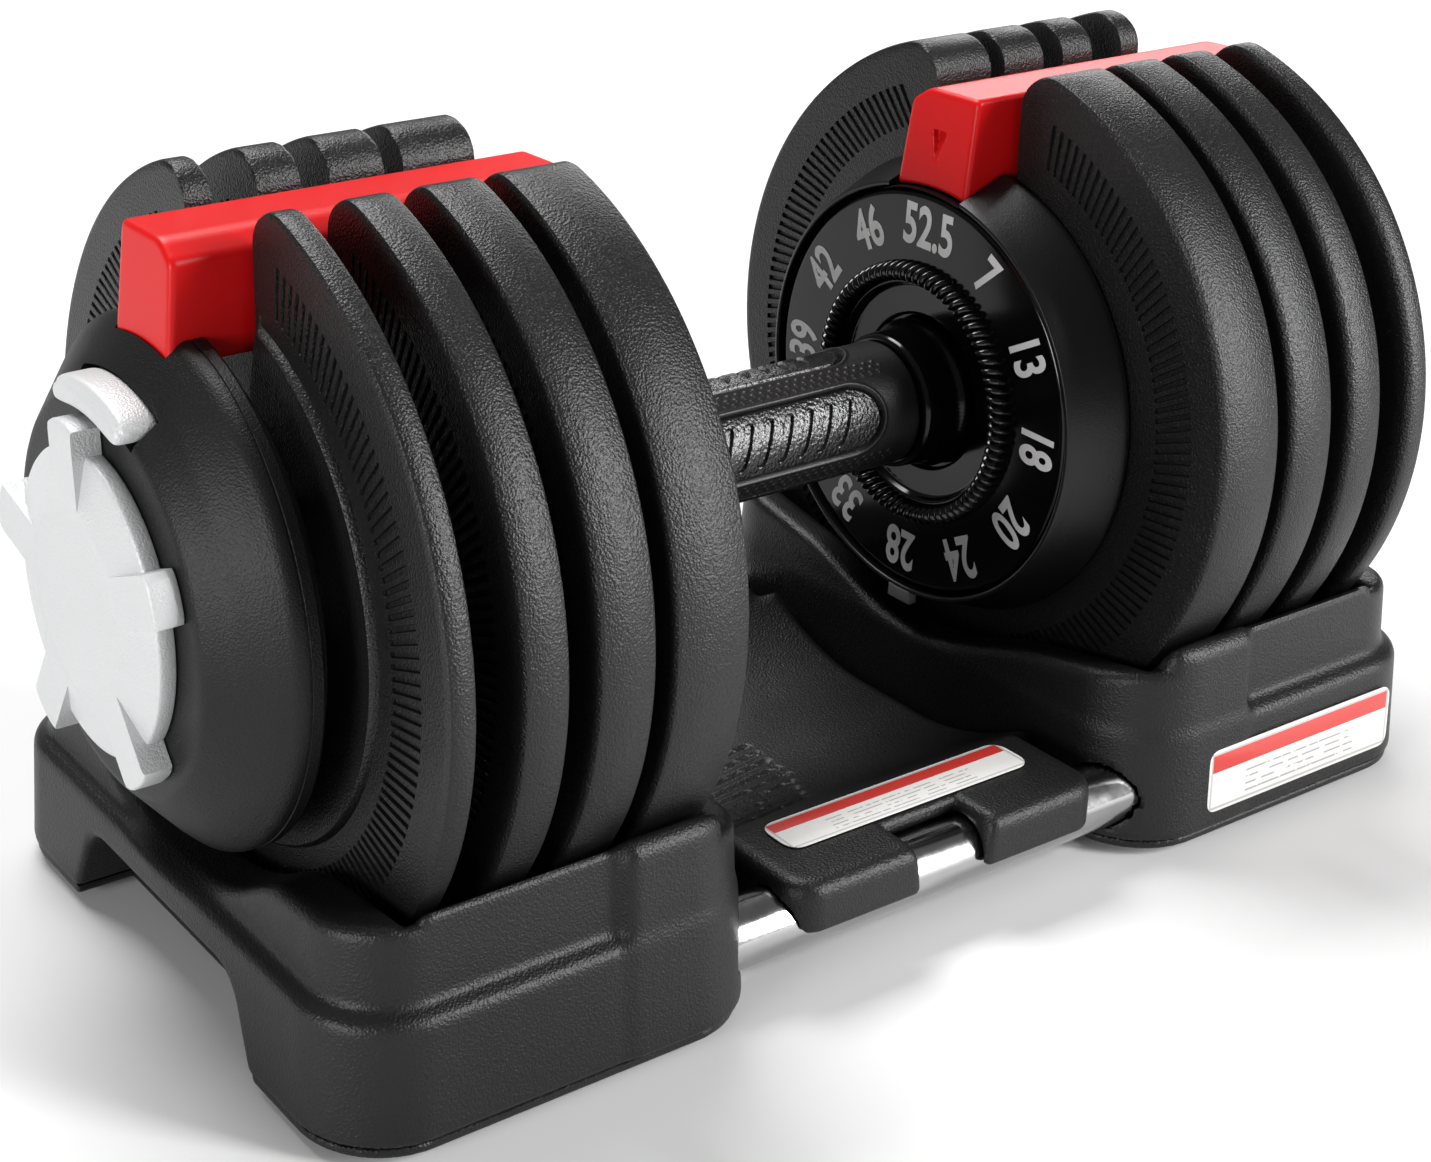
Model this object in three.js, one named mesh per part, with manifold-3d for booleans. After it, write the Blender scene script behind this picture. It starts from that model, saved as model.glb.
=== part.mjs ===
// An adjustable dumbbell docked in its tray. Millimetres, Z up; the grip runs along X.
// Each end is modelled once on the +X side and turned half a circle about Z for the other.
import * as THREE from "three";
import { mergeVertices } from "three/addons/utils/BufferGeometryUtils.js";
import Module from "manifold-3d";

const wasm = await Module();
wasm.setup();

// Weight plates: rim radius, inner and outer face of each plate, slot and edge sizes.
const AXIS_Z = 112;
const PLATE_R = 100;
const PLATES = [
  { name: "a", from: 78.5, to: 99.5 },
  { name: "b", from: 105, to: 120.5 },
  { name: "c", from: 128.5, to: 140.5 },
  { name: "d", from: 152.7, to: 160 },
];
const SLOT_HALF = 17;
const HORN_R = 9;
const PLATE_EDGE = 1.3;
const STUD = { y: 33, z: 27, r: 2.5, reach: 4 };
const PAD_R = 70;
const PAD_T = 2;

// Handle frame: spine, shroud round the dial, end hub and end cap.
const SPINE = { from: 62.6, to: 181, half: 14, topHalf: 13, top: 88, under: 60.6, chamfer: 6 };
const SHROUD = { r: 68, bore: 60.3, from: 60, web: 67, to: 77.8, shaft: 9.2 };
const HUB = { r: 60, from: 167, to: 170.7 };
const CAP = { r: 66.8, faceR: 49, from: 171, rim: 178, face: 193.5 };
const LATCH = { inner: 47.7, outer: 55, half: 25, centre: -3, from: 186.4, to: 197.6, gap: 0.5, travel: 2 };
const BUSH = { r: 13, from: 173, to: 190, bore: 8.3 };

// Rotor: shaft, grip, collars, dials, selectors and end knobs.
const SHAFT_R = 8;
const SHAFT_HALF = 195.6;
const GRIP = { r: 18.5, core: 14, half: 48, pocketLong: 84, pocketWide: 11.4, count: 6 };
const COLLAR = { r: 20, flange: 22.5, from: 48.4, step: 55, to: 62.6 };
const DIAL = { r: 59.5, from: 61.2, to: 66.4, dish: 32.5, dishDeep: 2 };
const KNURL = { inner: 33, outer: 39, from: 56.4, to: 60.9 };
const SELECTOR = { high: 38, low: 30, thick: 2.5 };
const KNOB = { r: 39.5, lug: 46.7, from: 193.9, to: 199.6, raisedR: 31, raised: 201.4, lugs: 5 };

// Tray: two cradles, base covers, feet, two tubes, a middle plate and two labels.
const CRADLE = { from: 62, to: 186, half: 96, corner: 24, z0: 5.1, ledge: 37.5, top: 62, draft: 0.045 };
const STEP = { x: 108, inset: 4 };
const WELL = { r: 102, from: 76, to: 164 };
const WALL_SCOOP_R = 75;
const DIVIDERS = [102.2, 124.6, 146.6];
const DIVIDER = { r: 89, thick: 2.6, half: 46 };
const ARCH = { foot: 50, top: 40, high: 27, from: 169 };
const BASE = { z0: 2.1, z1: 4.8, inset: 0.8 };
const TUBE = { y: 80, z: 17, r: 9, wall: 1.5, half: 96 };
const PLATE_HALF = 60.8;
const LIP = { half: 53, y: 60, front: 92, top: 31, notch: 12, notchY: 77 };

// Which plates each of the twelve settings picks up.
const SETTINGS = ["", "d", "c", "b", "cd", "bd", "ad", "bcd", "acd", "abd", "abc", "abcd"];

const BLACK = { color: 0x1b1b1c, roughness: 0.55, metalness: 0 };
const COATED = { color: 0x222223, roughness: 0.6, metalness: 0.1 };
const GLOSS_BLACK = { color: 0x0c0c0d, roughness: 0.18, metalness: 0 };
const RED = { color: 0xc41218, roughness: 0.28, metalness: 0 };
const SILVER = { color: 0xd9dadb, roughness: 0.45, metalness: 0.3 };
const STEEL = { color: 0x9a9c9f, roughness: 0.3, metalness: 1 };
const CHROME = { color: 0xd4d6d8, roughness: 0.12, metalness: 1 };
const RUBBER = { color: 0x151515, roughness: 0.8, metalness: 0 };
const LABEL = { color: 0xf2f2ef, roughness: 0.5, metalness: 0 };

const root = new THREE.Group();
const rad = THREE.MathUtils.degToRad;

/** A manifold solid made from a closed three.js geometry. */
function solid(geometry) {
  const bare = new THREE.BufferGeometry();
  const flat = geometry.index ? geometry.toNonIndexed() : geometry;
  bare.setAttribute("position", flat.getAttribute("position"));
  const merged = mergeVertices(bare, 1e-4);
  const triVerts = [];
  const all = merged.index.array;
  for (let i = 0; i < all.length; i += 3) {
    const [a, b, c] = [all[i], all[i + 1], all[i + 2]];
    if (a !== b && b !== c && c !== a) {
      triVerts.push(a, b, c);
    }
  }
  return new wasm.Manifold(
    new wasm.Mesh({
      numProp: 3,
      vertProperties: merged.attributes.position.array,
      triVerts: new Uint32Array(triVerts),
    }),
  );
}

/** Adds one named mesh, turned about Z by the angle and lifted by z. */
function add(name, made, look, turn = 0, z = 0) {
  const mesh = made.getMesh();
  const corners = new Float32Array(mesh.numVert * 3);
  for (let i = 0; i < mesh.numVert; i++) {
    corners.set(mesh.vertProperties.subarray(i * mesh.numProp, i * mesh.numProp + 3), i * 3);
  }
  const geometry = new THREE.BufferGeometry();
  geometry.setAttribute("position", new THREE.BufferAttribute(corners, 3));
  geometry.setIndex(new THREE.BufferAttribute(mesh.triVerts, 1));
  geometry.rotateZ(turn);
  geometry.translate(0, 0, z);
  geometry.computeVertexNormals();
  const part = new THREE.Mesh(geometry, new THREE.MeshStandardMaterial(look));
  part.name = name;
  root.add(part);
}

/** Adds the piece at both ends of the dumbbell. */
function addEnds(name, made, look) {
  add(`${name}_right`, made, look, 0, AXIS_Z);
  add(`${name}_left`, made, look, Math.PI, AXIS_Z);
}

/** A body of revolution about X from [x, radius] points; a ring when none is on the axis. */
function turned(points, segments = 32) {
  const profile = points.map(([x, r]) => new THREE.Vector2(r, x));
  if (points[0][1] > 0) {
    profile.push(profile[0].clone());
  }
  const area = THREE.ShapeUtils.area(profile);
  if (area < 0) {
    profile.reverse();
  }
  const geometry = new THREE.LatheGeometry(profile, segments);
  return solid(geometry.rotateZ(-Math.PI / 2));
}

/** A ring about X between two radii and two x values. */
function ring(x0, x1, inner, outer, segments = 24) {
  return turned([[x0, inner], [x1, inner], [x1, outer], [x0, outer]], segments);
}

/** A round rod about X at the given y and z. */
function rod(x0, x1, r, y = 0, z = 0, segments = 24) {
  const geometry = new THREE.CylinderGeometry(r, r, x1 - x0, segments);
  geometry.rotateZ(-Math.PI / 2);
  return solid(geometry.translate((x0 + x1) / 2, y, z));
}

/** A box from its low corner to its high corner. */
function block(x0, x1, y0, y1, z0, z1) {
  const geometry = new THREE.BoxGeometry(x1 - x0, y1 - y0, z1 - z0);
  return solid(geometry.translate((x0 + x1) / 2, (y0 + y1) / 2, (z0 + z1) / 2));
}

/** Points along a circular arc, angles in degrees. */
function arc(cx, cy, r, from, to, steps) {
  const points = [];
  for (let i = 0; i <= steps; i++) {
    const a = rad(from + ((to - from) * i) / steps);
    points.push([cx + r * Math.cos(a), cy + r * Math.sin(a)]);
  }
  return points;
}

/** An outline in Y and Z pushed along X, with chamfered edges when edge is given. */
function alongX(points, x0, x1, edge = 0) {
  const shape = new THREE.Shape(points.map(([y, z]) => new THREE.Vector2(y, z)));
  const geometry = new THREE.ExtrudeGeometry(shape, {
    depth: x1 - x0 - 2 * edge,
    bevelEnabled: edge > 0,
    bevelThickness: edge,
    bevelSize: edge,
    bevelOffset: -edge,
    bevelSegments: 1,
  });
  geometry.translate(0, 0, x0 + edge);
  const axes = new THREE.Matrix4().makeBasis(
    new THREE.Vector3(0, 1, 0),
    new THREE.Vector3(0, 0, 1),
    new THREE.Vector3(1, 0, 0),
  );
  return solid(geometry.applyMatrix4(axes));
}

/** An outline in X and Y pushed up Z, its walls leaning in by the draft. */
function upZ(points, z0, z1, draft = 0) {
  const shape = new THREE.Shape(points.map(([x, y]) => new THREE.Vector2(x, y)));
  const geometry = new THREE.ExtrudeGeometry(shape, { depth: z1 - z0, bevelEnabled: false });
  const box = new THREE.Box2().setFromPoints(shape.getPoints());
  const centre = box.getCenter(new THREE.Vector2());
  const size = box.getSize(new THREE.Vector2());
  const shrink = 2 * draft * (z1 - z0);
  const spot = geometry.getAttribute("position");
  for (let i = 0; i < spot.count; i++) {
    const high = spot.getZ(i) > 0 ? shrink : 0;
    spot.setX(i, centre.x + (spot.getX(i) - centre.x) * (1 - high / size.x));
    spot.setY(i, centre.y + (spot.getY(i) - centre.y) * (1 - high / size.y));
  }
  return solid(geometry.translate(0, 0, z0));
}

/** A rectangle outline with rounded corners. */
function rounded(x0, x1, y0, y1, r, steps = 6) {
  return [
    ...arc(x1 - r, y1 - r, r, 0, 90, steps),
    ...arc(x0 + r, y1 - r, r, 90, 180, steps),
    ...arc(x0 + r, y0 + r, r, 180, 270, steps),
    ...arc(x1 - r, y0 + r, r, 270, 360, steps),
  ];
}

/** A sector of a ring in Y and Z; degrees are measured from straight up. */
function sector(inner, outer, centre, half, steps) {
  const mid = 90 + centre;
  return [
    ...arc(0, 0, outer, mid - half, mid + half, steps),
    ...arc(0, 0, inner, mid + half, mid - half, steps),
  ];
}

/** The open-topped outline of a plate with rounded horns either side of its slot. */
function plateOutline(r) {
  const cx = SLOT_HALF + HORN_R;
  const cz = Math.sqrt((r - HORN_R) ** 2 - cx ** 2);
  const lean = THREE.MathUtils.radToDeg(Math.atan2(cz, cx));
  return [
    ...arc(cx, cz, HORN_R, 180, lean, 3),
    ...arc(0, 0, r, lean, lean - 360 + 2 * (90 - lean), 30).slice(1, -1),
    ...arc(-cx, cz, HORN_R, 180 - lean, 0, 3),
    ...arc(0, 0, SLOT_HALF, 180, 360, 6),
  ];
}

function plate({ name, from, to }) {
  let made = alongX(plateOutline(PLATE_R), from, to, PLATE_EDGE);
  let face = to;
  if (name === "d") {
    made = made.add(alongX(plateOutline(PAD_R), to - 1, to + PAD_T));
    face = to + PAD_T;
  }
  return made.add(rod(face - 1, face + STUD.reach, STUD.r, STUD.y, STUD.z, 8));
}

/** The red bar over the plates, grown by the gap and begun at start to cut room for itself. */
function spineBody(gap = 0, start = SPINE.from) {
  const { half, topHalf, top, under, chamfer, to } = SPINE;
  const r = under - gap;
  const edge = THREE.MathUtils.radToDeg(Math.acos((half + gap) / r));
  const outline = [
    ...arc(0, 0, r, 180 - edge, edge, 8),
    [topHalf + gap, top - chamfer * 0.7 + gap],
    [topHalf - chamfer + gap, top + gap],
    [-topHalf - gap, top + gap],
  ];
  return alongX(outline, start - gap, to + gap, gap ? 0 : 0.9);
}

function spine() {
  const pointer = alongX([[0, 69], [2.6, 77], [-2.6, 77]], SPINE.from - 1, SPINE.from + 1);
  return spineBody().subtract(pointer);
}

function shroud() {
  const { r, bore, from, web, to, shaft } = SHROUD;
  const profile = [[from, bore], [web, bore], [web, shaft], [to, shaft], [to, r], [from + 1.5, r], [from, r - 1.5]];
  return turned(profile, 36).subtract(spineBody(0.4, from - 1));
}

function endCap() {
  const { r, faceR, from, rim, face } = CAP;
  const shell = turned([[from, 13.4], [face, 13.4], [face, faceR], [rim, r], [from, r]], 36);
  const { inner, outer, centre, half, gap, travel } = LATCH;
  const pocket = sector(inner - gap, outer + gap, centre, half + 0.6, 6);
  const floor = LATCH.from - travel - 0.5;
  return shell.subtract(alongX(pocket, floor, face + 5)).subtract(spineBody(0.4));
}

function latch() {
  const { inner, outer, centre, half, from, to } = LATCH;
  return alongX(sector(inner, outer, centre, half, 8), from, to, 0.8);
}

function bushing() {
  return turned([[BUSH.from, BUSH.bore], [BUSH.to, BUSH.bore], [BUSH.to, BUSH.r], [BUSH.from, BUSH.r]], 16);
}

function grip() {
  const { r, core, half, pocketLong, pocketWide, count } = GRIP;
  let made = turned([[-half, core + 0.3], [half, core + 0.3], [half, r - 1.5], [half - 3, r], [3 - half, r], [-half, r - 1.5]], 18);
  for (let i = 0; i < count; i++) {
    made = made.subtract(panelBody(pocketLong, pocketWide, r - 2.4, r + 2, i));
  }
  return made;
}

/** A stadium-shaped block lying along the grip, at one of the panel places. */
function panelBody(long, wide, low, high, i) {
  const outline = rounded(-long / 2, long / 2, -wide / 2, wide / 2, wide / 2 - 0.01, 2);
  const shape = new THREE.Shape(outline.map(([x, y]) => new THREE.Vector2(x, y)));
  const geometry = new THREE.ExtrudeGeometry(shape, { depth: high - low, bevelEnabled: false });
  geometry.translate(0, 0, low);
  return solid(geometry.rotateX(rad(30 + (360 * i) / GRIP.count)));
}

function dial() {
  const { r, from, to, dish, dishDeep } = DIAL;
  const step = from + dishDeep;
  return turned([[step, COLLAR.flange + 0.6], [step, dish - 1], [from, dish], [from, r - 0.8], [from + 0.8, r], [to, r],
    [to, 8.4], [to - 1.4, 8.4], [to - 1.4, COLLAR.flange + 0.6]], 33);
}

function knurlRing() {
  const { inner, outer, from, to } = KNURL;
  const mid = (inner + outer) / 2;
  return turned([[to, inner], [from + 1.5, inner], [from, mid - 1.2], [from, mid + 1.2], [from + 1.5, outer], [to, outer]], 33);
}

function collar() {
  const { r, flange, from, step, to } = COLLAR;
  return turned([[from, 8.4], [to, 8.4], [to, flange], [step + 2, flange], [step, r], [from + 1, r], [from, r - 1]], 20);
}

/** A selector disc: high over the stations where its plate is picked up. */
function selector(letter, x) {
  const outline = [];
  const reach = 180 / SETTINGS.length - 1;
  SETTINGS.forEach((picked, i) => {
    const r = picked.includes(letter) ? SELECTOR.high : SELECTOR.low;
    const mid = 50 + (360 * i) / SETTINGS.length;
    outline.push(...arc(0, 0, r, mid - reach, mid + reach, 2));
  });
  return alongX(outline, x, x + SELECTOR.thick).subtract(rod(x - 1, x + 5, SHAFT_R + 0.3));
}

function knob() {
  const { r, lug, from, to, raisedR, raised, lugs } = KNOB;
  const outline = [];
  const pitch = 360 / lugs;
  for (let i = 0; i < lugs; i++) {
    const mid = 94 + pitch * i;
    outline.push(...arc(0, 0, lug, mid - 7.5, mid + 7.5, 2));
    outline.push(...arc(0, 0, r, mid + 10, mid + pitch - 10, 4));
  }
  return alongX(outline, from, to, 0.8)
    .add(turned([[raised, 0], [raised, raisedR - 1.5], [to - 1, raisedR + 1], [to - 1, 0]], 20))
    .subtract(rod(from - 1, SHAFT_HALF + 0.3, SHAFT_R + 0.3));
}

function buildDumbbell() {
  PLATES.forEach((p) => addEnds(`plate_${p.name}`, plate(p), COATED));
  addEnds("spine", spine(), RED);
  addEnds("shroud", shroud(), BLACK);
  addEnds("end_hub", ring(HUB.from, HUB.to, 9.2, HUB.r).subtract(spineBody(0.4)), BLACK);
  addEnds("end_cap", endCap(), BLACK);
  addEnds("latch", latch(), SILVER);
  addEnds("bushing", bushing(), STEEL);
  add("shaft", rod(-SHAFT_HALF, SHAFT_HALF, SHAFT_R), STEEL, 0, AXIS_Z);
  add("grip", grip(), RUBBER, 0, AXIS_Z);
  const core = ring(-GRIP.half, GRIP.half, SHAFT_R + 0.3, GRIP.core, 16);
  add("grip_core", core, STEEL, 0, AXIS_Z);
  for (let i = 0; i < GRIP.count; i++) {
    const { r, pocketLong, pocketWide } = GRIP;
    const panel = panelBody(pocketLong - 0.8, pocketWide - 0.8, r - 2.1, r - 0.9, i);
    add(`grip_panel_${i + 1}`, panel, GLOSS_BLACK, 0, AXIS_Z);
  }
  addEnds("collar", collar(), GLOSS_BLACK);
  addEnds("dial", dial(), GLOSS_BLACK);
  addEnds("knurl_ring", knurlRing(), BLACK);
  PLATES.forEach(({ name, to }) => {
    const x = name === "d" ? to + PAD_T + 1.2 : to + 1.2;
    addEnds(`selector_${name}`, selector(name, x), STEEL);
  });
  addEnds("knob", knob(), SILVER);
}

/** The wall-top cut of a cradle: a round scoop between two sloping shoulders. */
function rimCut(x0, x1, scoop, shoulder, z) {
  const side = Math.sqrt(scoop ** 2 - (AXIS_Z - shoulder) ** 2);
  const edge = THREE.MathUtils.radToDeg(Math.acos(side / scoop));
  const outline = [
    ...arc(0, AXIS_Z, scoop, 180 + edge, 360 - edge, 8),
    [CRADLE.half + 5, z],
    [CRADLE.half + 5, 130],
    [-CRADLE.half - 5, 130],
    [-CRADLE.half - 5, z],
  ];
  return alongX(outline, x0, x1);
}

function archOutline() {
  const { foot, top, high } = ARCH;
  return [
    [-foot, -1], [foot, -1], [foot - 2, 8], [top, high - 4], [top - 8, high],
    [8 - top, high], [-top, high - 4], [2 - foot, 8],
  ];
}

function cradle() {
  const { from, to, half, corner, z0, ledge, top, draft } = CRADLE;
  const full = rounded(from, to, -half, half, corner, 4);
  const lower = upZ(full, z0, ledge, draft);
  const tall = upZ(full, z0, top, draft).intersect(block(from - 1, STEP.x, -half - 1, half + 1, 0, 80));
  const { inset } = STEP;
  const inner = rounded(from + inset, to - inset, -half + inset, half - inset, corner - inset, 4);
  let made = lower.add(tall).add(upZ(inner, z0, top, draft));
  made = made.subtract(rod(WELL.from, WELL.to, WELL.r, 0, AXIS_Z, 54));
  made = made.subtract(rimCut(from - 1, WELL.from + 1, WALL_SCOOP_R, 46, 58));
  made = made.subtract(rimCut(WELL.to - 1, to + 1, WALL_SCOOP_R, 55, 60));
  DIVIDERS.forEach((x) => {
    const rib = sector(DIVIDER.r, WELL.r + 2, 180, DIVIDER.half, 9).map(([y, z]) => [y, z + AXIS_Z]);
    made = made.add(alongX(rib, x - DIVIDER.thick / 2, x + DIVIDER.thick / 2));
  });
  made = made.subtract(alongX(archOutline(), ARCH.from, to + 2));
  [-TUBE.y, TUBE.y].forEach((y) => {
    made = made.subtract(rod(from - 1, TUBE.half + 0.5, TUBE.r + 0.4, y, TUBE.z, 24));
  });
  return made;
}

function base() {
  const { from, to, half, corner } = CRADLE;
  const g = BASE.inset;
  const outline = rounded(from + g, to - g, -half + g, half - g, corner - g, 4);
  return upZ(outline, BASE.z0, BASE.z1).subtract(alongX(archOutline(), ARCH.from, to + 2));
}

function trayPlate() {
  const { half, y, front, top, notch, notchY } = LIP;
  const edge = [[front, TUBE.z], [front, top - 4], [front - 1.5, top - 1.2], [front - 5, top], [y, top]];
  const dish = [[54, 27], [44, 21.5], [30, 17.5], [12, 15]];
  const right = [...edge, ...dish];
  const left = right.map(([py, pz]) => [-py, pz]).reverse();
  const under = [[-70.4, TUBE.z], [-66, 10], [66, 10], [70.4, TUBE.z]];
  let made = alongX([...right, ...left, ...under], -PLATE_HALF, PLATE_HALF);
  const corner = 9;
  const keep = upZ(rounded(-half, half, -front - 1, front + 1, corner, 4), 0, 50);
  made = made.intersect(keep.add(block(-PLATE_HALF, PLATE_HALF, 3 - y, y - 3, 0, 50)));
  [-1, 1].forEach((s) => {
    made = made.subtract(rod(-90, 90, TUBE.r + 0.4, s * TUBE.y, TUBE.z, 24));
  });
  return made.subtract(block(-notch, notch, -front - 5, -notchY, 0, 50));
}

/** A thin rounded label, flat on XY and centred, before it is laid on its face. */
function label(long, high, r) {
  return rounded(-long / 2, long / 2, -high / 2, high / 2, r, 3);
}

function cradleLabel() {
  const { half, z0, draft } = CRADLE;
  const shape = new THREE.Shape(label(76, 19, 3).map(([x, y]) => new THREE.Vector2(x, y)));
  const geometry = new THREE.ExtrudeGeometry(shape, { depth: 0.4, bevelEnabled: false });
  geometry.translate(0, 0, 0.35);
  geometry.rotateX(Math.PI / 2 - Math.atan(draft));
  const z = 19.5;
  return solid(geometry.translate(134, -half + draft * (z - z0), z));
}

function buildTray() {
  const made = cradle();
  add("cradle_right", made, BLACK);
  add("cradle_left", made, BLACK, Math.PI);
  add("base_right", base(), BLACK);
  add("base_left", base(), BLACK, Math.PI);
  [["right", 1], ["left", -1]].forEach(([side, s]) => {
    [["front", -1], ["back", 1]].forEach(([place, t]) => {
      const x = s > 0 ? 84 : -164;
      const foot = rounded(x, x + 80, t * 76 - 7, t * 76 + 7, 6.9, 2);
      add(`foot_${side}_${place}`, upZ(foot, 0, 1.8), RUBBER);
    });
  });
  const { y, z, r, wall, half } = TUBE;
  const tube = ring(-half, half, r - wall, r, 24);
  add("tube_front", tube.translate([0, -y, z]), CHROME);
  add("tube_back", tube.translate([0, y, z]), CHROME);
  add("tray_plate", trayPlate(), BLACK);
  add("label_tray", upZ(label(84, 14, 4).map(([px, py]) => [px, py - 68.5]), 31.3, 31.7), LABEL);
  add("label_cradle", cradleLabel(), LABEL);
}

buildDumbbell();
buildTray();

export default root;
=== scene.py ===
"""Looks for an adjustable dumbbell docked in its tray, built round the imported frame.

Lengths are millimetres and become metres when a mesh is made. The grip runs
along X. Each end is worked out once, on the +X side, and turned half a circle about Z for the
other. Angles round the grip's axis are measured from straight up towards +Y.
"""
import math

import bmesh
import bpy
import numpy as np
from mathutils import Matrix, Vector


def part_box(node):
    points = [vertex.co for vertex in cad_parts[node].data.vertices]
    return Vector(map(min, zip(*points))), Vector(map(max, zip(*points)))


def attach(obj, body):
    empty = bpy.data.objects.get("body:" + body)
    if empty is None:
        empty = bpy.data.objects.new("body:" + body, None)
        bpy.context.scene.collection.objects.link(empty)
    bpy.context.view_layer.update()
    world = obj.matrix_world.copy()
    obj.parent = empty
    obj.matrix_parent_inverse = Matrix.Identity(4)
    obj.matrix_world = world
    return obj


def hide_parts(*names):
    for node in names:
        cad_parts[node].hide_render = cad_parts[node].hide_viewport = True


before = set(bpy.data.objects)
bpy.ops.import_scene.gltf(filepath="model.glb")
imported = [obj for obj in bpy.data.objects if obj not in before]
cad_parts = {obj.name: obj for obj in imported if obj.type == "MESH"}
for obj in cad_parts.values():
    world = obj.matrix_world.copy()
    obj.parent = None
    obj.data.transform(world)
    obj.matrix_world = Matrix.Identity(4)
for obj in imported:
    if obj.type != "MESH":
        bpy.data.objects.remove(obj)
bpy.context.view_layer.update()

MM = 0.001
TURN = 2 * math.pi
ENDS = {"right": np.array([1.0, 1.0, 1.0]), "left": np.array([-1.0, -1.0, 1.0])}


def span(node):
    """The low and high corner of a CAD node, in millimetres."""
    low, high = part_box(node)
    return np.array(low) / MM, np.array(high) / MM


def round_span(node):
    """A round CAD node's two ends along the grip's axis, and its radius."""
    low, high = span(node)
    return low[0], high[0], (high[1] - low[1]) / 2


SHAFT_LOW, SHAFT_HIGH = span("shaft")
AXIS_Z = (SHAFT_LOW[2] + SHAFT_HIGH[2]) / 2

# ---------------------------------------------------------------- shaders


class Value:
    """A shader socket; an expression on values adds the Math nodes that work it out."""

    def __init__(self, tree, socket):
        self.tree = tree
        self.socket = socket

    def math(self, operation, *others, swapped=False):
        """One Math node on this value and the others, in reversed order when swapped."""
        made = self.tree.nodes.new("ShaderNodeMath")
        made.operation = operation
        given = [self, *others]
        if swapped:
            given.reverse()
        for place, value in zip(made.inputs, given):
            plug(self.tree, place, value)
        return Value(self.tree, made.outputs[0])

    def __add__(self, other):
        return self.math("ADD", other)

    def __radd__(self, other):
        return self.math("ADD", other, swapped=True)

    def __sub__(self, other):
        return self.math("SUBTRACT", other)

    def __rsub__(self, other):
        return self.math("SUBTRACT", other, swapped=True)

    def __mul__(self, other):
        return self.math("MULTIPLY", other)

    def __truediv__(self, other):
        return self.math("DIVIDE", other)

    def __gt__(self, other):
        return self.math("GREATER_THAN", other)

    def __lt__(self, other):
        return self.math("LESS_THAN", other)

    def __abs__(self):
        return self.math("ABSOLUTE")


def plug(tree, place, value):
    """Links a value to an input, or sets the input when the value is plain."""
    if isinstance(value, Value):
        tree.links.new(value.socket, place)
    else:
        place.default_value = value


class Finish:
    """One procedural material: its name, its node tree and its shader."""

    def __init__(self, name, **uniform):
        self.material = bpy.data.materials.new(name)
        self.material.use_nodes = True
        self.tree = self.material.node_tree
        self.shader = self.tree.nodes["Principled BSDF"]
        for key, value in uniform.items():
            self.shader.inputs[key.replace("_", " ")].default_value = value
        coordinates = self.tree.nodes.new("ShaderNodeTexCoord")
        self.place = Value(self.tree, coordinates.outputs["Object"])

    def node(self, kind, settings, inputs):
        """Any node: its settings come first, then the values or links of its inputs."""
        made = self.tree.nodes.new(kind)
        for key, value in settings.items():
            setattr(made, key, value)
        for key, value in inputs.items():
            plug(self.tree, made.inputs[key], value)
        return Value(self.tree, made.outputs[0])

    def noise(self, size, detail=2.0, rough=0.5):
        """Soft noise whose lumps are about the given size in millimetres."""
        inputs = {"Vector": self.place, "Scale": 1 / (size * MM), "Detail": detail, "Roughness": rough}
        return self.node("ShaderNodeTexNoise", {}, inputs)

    def cells(self, size):
        """Rounded cells about the given size in millimetres, 0 at their middles."""
        inputs = {"Vector": self.place, "Scale": 1 / (size * MM), "Smoothness": 0.6}
        return self.node("ShaderNodeTexVoronoi", {"feature": "SMOOTH_F1"}, inputs)

    def axes(self):
        """The three object coordinates as separate values, in metres."""
        split = self.tree.nodes.new("ShaderNodeSeparateXYZ")
        self.tree.links.new(self.place.socket, split.inputs[0])
        return [Value(self.tree, socket) for socket in split.outputs]

    def blend(self, amount, dark, light):
        """A colour between two colours or colour values."""
        mix = self.tree.nodes.new("ShaderNodeMix")
        mix.data_type = "RGBA"
        for place, value in zip((mix.inputs[0], mix.inputs[6], mix.inputs[7]), (amount, dark, light)):
            plug(self.tree, place, value)
        return Value(self.tree, mix.outputs[2])

    def bump(self, height, deep):
        """A bump of the given depth in millimetres."""
        return self.node("ShaderNodeBump", {}, {"Height": height, "Strength": 1.0, "Distance": deep * MM})

    def set(self, **values):
        """Feeds values into the shader; a socket name's spaces are written as underscores."""
        for key, value in values.items():
            plug(self.tree, self.shader.inputs[key.replace("_", " ")], value)
        return self.material


def grey(level):
    """A plain grey."""
    return (level, level, level, 1.0)


PLASTIC_SHINE = 0.36
ROUGH_SPREAD = 0.1


def grained(name, dark, light, rough, grain, deep, **uniform):
    """Moulded plastic or coating: pebbled cells over soft unevenness. The grain's size and depth are
    in millimetres."""
    uniform.setdefault("Specular_IOR_Level", PLASTIC_SHINE)
    made = Finish(name, **uniform)
    patch = made.noise(38, 3.0)
    pebble = made.cells(grain)
    fine = made.noise(grain * 0.8, 2.0, 0.6)
    height = pebble * 0.7 + fine * 0.8
    colour = made.blend(patch * 0.6 + fine * 0.4, dark, light)
    return made.set(
        Base_Color=colour,
        Roughness=rough + (patch - 0.5) * ROUGH_SPREAD + (fine - 0.5) * ROUGH_SPREAD,
        Normal=made.bump(height, deep),
    )


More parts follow.
